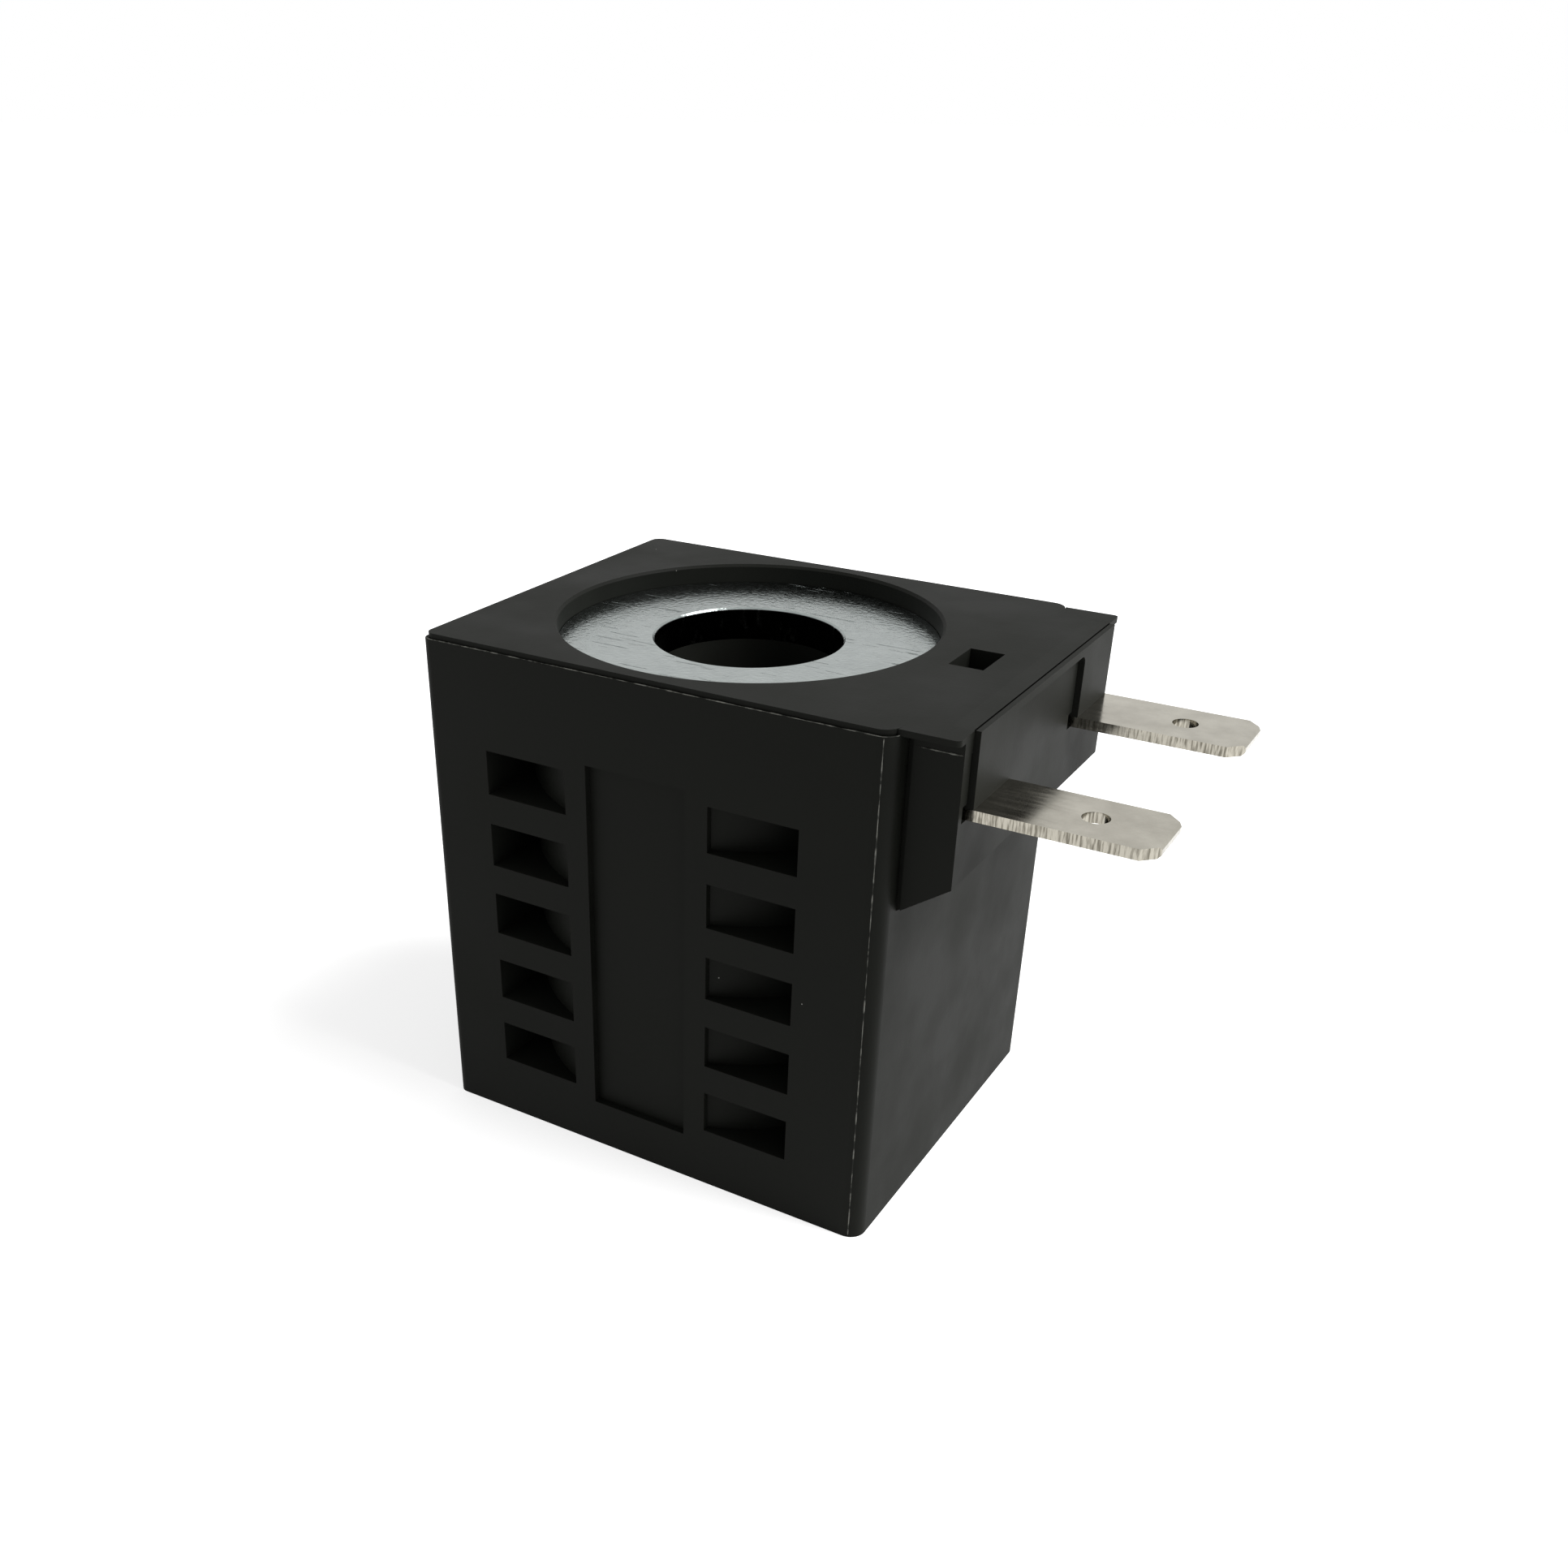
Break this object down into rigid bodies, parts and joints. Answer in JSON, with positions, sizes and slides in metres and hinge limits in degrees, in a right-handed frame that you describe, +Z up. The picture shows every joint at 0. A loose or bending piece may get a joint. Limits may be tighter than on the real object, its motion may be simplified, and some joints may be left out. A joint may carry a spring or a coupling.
{
  "type": "cartridge valve coil",
  "caption": "Over-moulded solenoid coil for a cartridge valve, with a round through bore, steel flux washers and a terminal block with flat blade terminals.",
  "frame": {"origin": "centre of the bore at the bottom face", "axes": "+Z up along the bore axis, towards the recessed face; +X the way the blade terminals point; -Y the side with the label recess"},
  "size_m": [0.0558, 0.0328, 0.0415],
  "materials": {
    "housing_plastic": "moulded glass-filled nylon, satin",
    "bobbin_plastic": "moulded nylon, satin",
    "zinc_plated_steel": "zinc plated, satin, handling scratches",
    "plain_steel": "rolled sheet, oiled",
    "enamelled_copper": "enamelled copper wire",
    "polyester_tape": "polyester film tape",
    "tinned_brass": "tin-plated, satin",
    "solder": "solder, bright"
  },
  "bodies": {
    "root": {"housing": "housing_plastic", "upper_flux_washer": "zinc_plated_steel", "lower_flux_washer": "zinc_plated_steel", "flux_tube": "plain_steel", "bobbin": "bobbin_plastic", "winding": "enamelled_copper", "winding_tape": "polyester_tape", "start_lead_tape": "polyester_tape", "start_lead": "enamelled_copper", "finish_lead": "enamelled_copper", "blade_terminal_left": "tinned_brass", "blade_terminal_right": "tinned_brass", "solder_joint_left": "solder", "solder_joint_right": "solder"}
  },
  "joints": []
}
